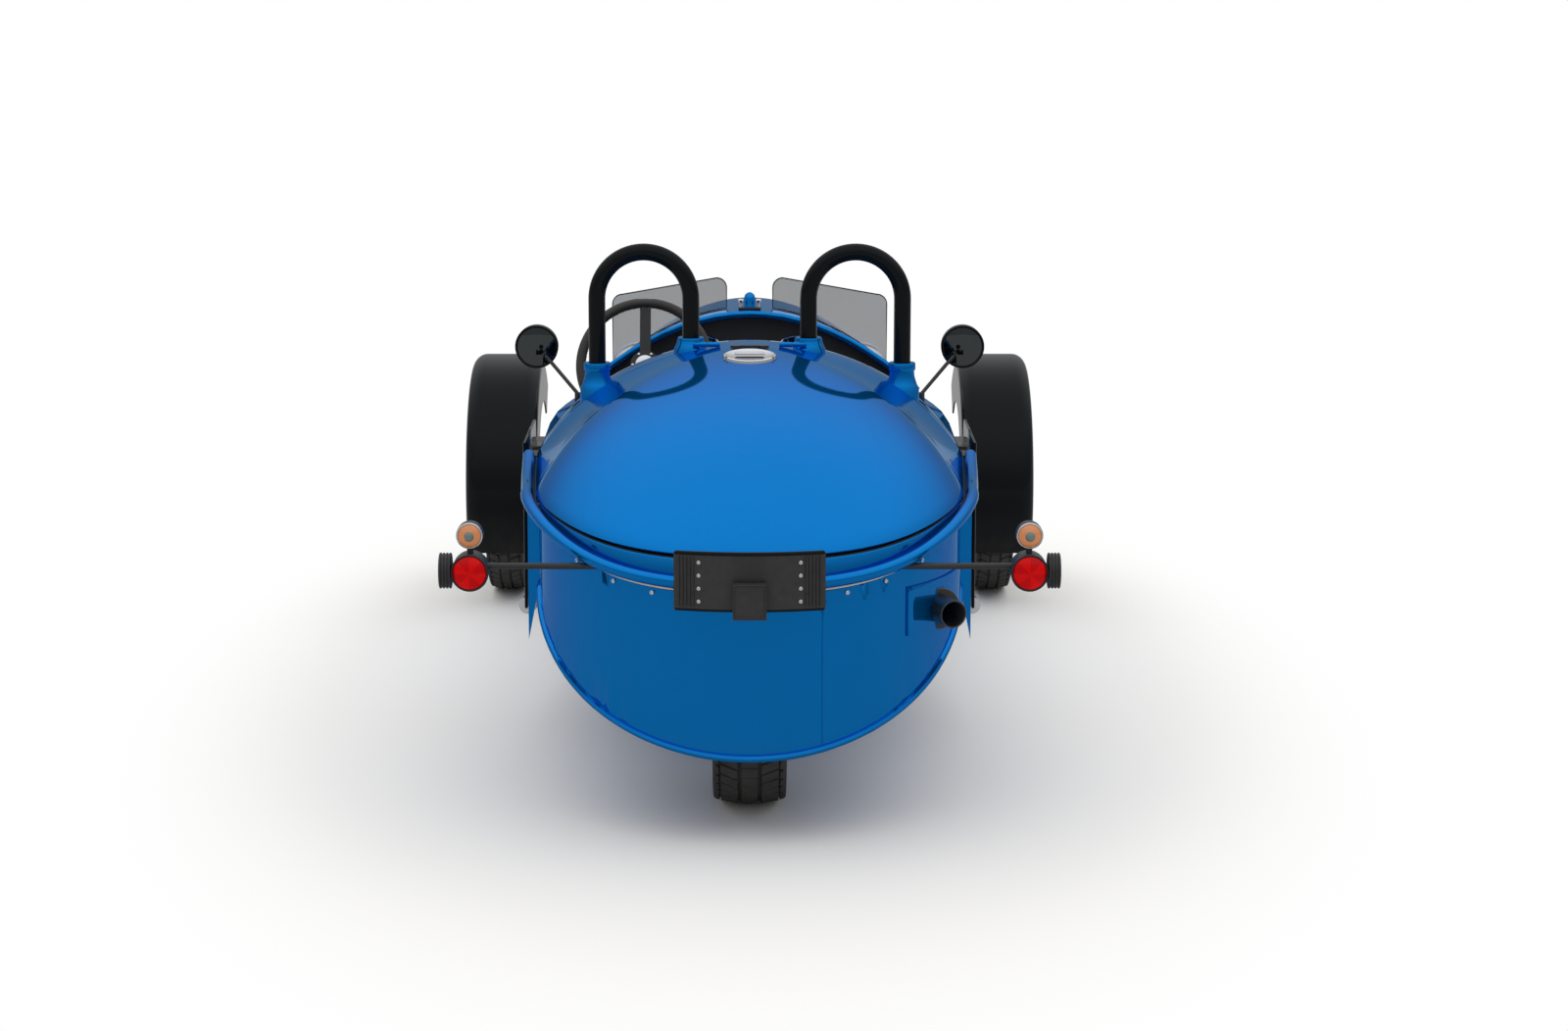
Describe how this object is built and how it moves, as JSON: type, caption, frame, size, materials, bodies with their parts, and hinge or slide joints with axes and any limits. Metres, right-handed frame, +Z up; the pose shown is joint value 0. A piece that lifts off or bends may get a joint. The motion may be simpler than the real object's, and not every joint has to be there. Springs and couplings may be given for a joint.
{
  "type": "three-wheeled roadster",
  "caption": "Open two-seat roadster with steered wire wheels in front, one driven rear wheel under a rounded barrel tail with a domed hinged lid, roll hoops and an open vee engine.",
  "frame": {"origin": "on the ground, at the middle of the overall length and width", "axes": "+X to the right, +Y forward, +Z up"},
  "size_m": [1.64, 3.2623, 1.222],
  "materials": {
    "blue_paint": "gloss",
    "black_paint": "gloss",
    "black_trim": "satin",
    "frame_black": "satin",
    "board": "matt",
    "hide": "soft",
    "smoked_screen": "clear",
    "lens_clear": "clear",
    "lens_red": "gloss",
    "lens_amber": "gloss",
    "bright": "polished",
    "alloy": "satin",
    "cylinder_black": "satin",
    "steel": "satin",
    "rubber_tyre": "matt"
  },
  "bodies": {
    "body": {"hull_side_left": "blue_paint", "hull_side_right": "blue_paint", "hull_floor": "blue_paint", "tail_wall": "blue_paint", "tail_rim": "blue_paint", "rear_bulkhead": "board", "hoop_deck": "blue_paint", "roll_hoops": "black_paint", "front_bulkhead": "frame_black", "scuttle": "blue_paint", "nose_cowl": "blue_paint", "dash_panel": "board", "wheel_tunnel": "board", "side_louvres": "blue_paint", "side_shields": "black_paint", "fly_screens": "smoked_screen", "mirrors": "black_trim", "seat_cushions": "hide", "seat_backs": "hide", "steering_column": "frame_black", "gear_lever": "steel", "lamp_arms": "black_trim", "red_lenses": "lens_red", "amber_lenses": "lens_amber", "plate_holder": "black_trim", "tailpipe": "frame_black", "front_frame": "frame_black", "engine_case": "alloy", "engine_cylinders": "cylinder_black", "intake": "alloy", "exhaust_headers": "bright", "headlamps": "bright", "headlamp_lenses": "lens_clear", "wishbones": "frame_black", "dampers": "steel", "rack_housing": "alloy", "swing_arm": "frame_black"},
    "tail_lid": {"tail_lid": "blue_paint", "lid_handle": "bright"},
    "steering_wheel": {"steering_wheel": "black_trim"},
    "rack": {"tie_rods": "steel"},
    "knuckle_left": {"knuckle_left": "frame_black", "wing_left": "black_paint"},
    "knuckle_right": {"knuckle_right": "frame_black", "wing_right": "black_paint"},
    "front_wheel_left": {"front_wheel_left": "bright", "front_tyre_left": "rubber_tyre"},
    "front_wheel_right": {"front_wheel_right": "bright", "front_tyre_right": "rubber_tyre"},
    "rear_wheel": {"rear_wheel": "alloy", "rear_tyre": "rubber_tyre"}
  },
  "joints": [
    {"name": "knuckle_left_steer", "type": "hinge", "parent": "body", "child": "knuckle_left", "pos_m": [-0.626, 1.225, 0.33], "axis": [0, 0, 1], "range_deg": [-25, 25]},
    {"name": "knuckle_right_steer", "type": "hinge", "parent": "body", "child": "knuckle_right", "pos_m": [0.626, 1.225, 0.33], "axis": [0, 0, 1], "range_deg": [-25, 25]},
    {"name": "rack_slide", "type": "slide", "parent": "body", "child": "rack", "axis": [1, 0, 0], "range_m": [-0.05, 0.05]},
    {"name": "steering_wheel_turn", "type": "hinge", "parent": "body", "child": "steering_wheel", "pos_m": [-0.27, -0.02, 0.839], "axis": [0, -0.9397, 0.342], "range_deg": [-250, 250]},
    {"name": "front_wheel_left_spin", "type": "hinge", "parent": "knuckle_left", "child": "front_wheel_left", "pos_m": [-0.717, 1.225, 0.33], "axis": [-1, 0, 0], "continuous": true},
    {"name": "front_wheel_right_spin", "type": "hinge", "parent": "knuckle_right", "child": "front_wheel_right", "pos_m": [0.717, 1.225, 0.33], "axis": [-1, 0, 0], "continuous": true},
    {"name": "rear_wheel_spin", "type": "hinge", "parent": "body", "child": "rear_wheel", "pos_m": [0, -1.165, 0.306], "axis": [-1, 0, 0], "continuous": true},
    {"name": "tail_lid_open", "type": "hinge", "parent": "body", "child": "tail_lid", "pos_m": [0, -0.743, 0.988], "axis": [-1, 0, 0], "range_deg": [0, 65]}
  ],
  "couplings": [
    {"joint": "knuckle_right_steer", "follows": "knuckle_left_steer", "ratio": 1},
    {"joint": "rack_slide", "follows": "knuckle_left_steer", "m_per_rad": 0.11},
    {"joint": "steering_wheel_turn", "follows": "knuckle_left_steer", "ratio": 10}
  ]
}
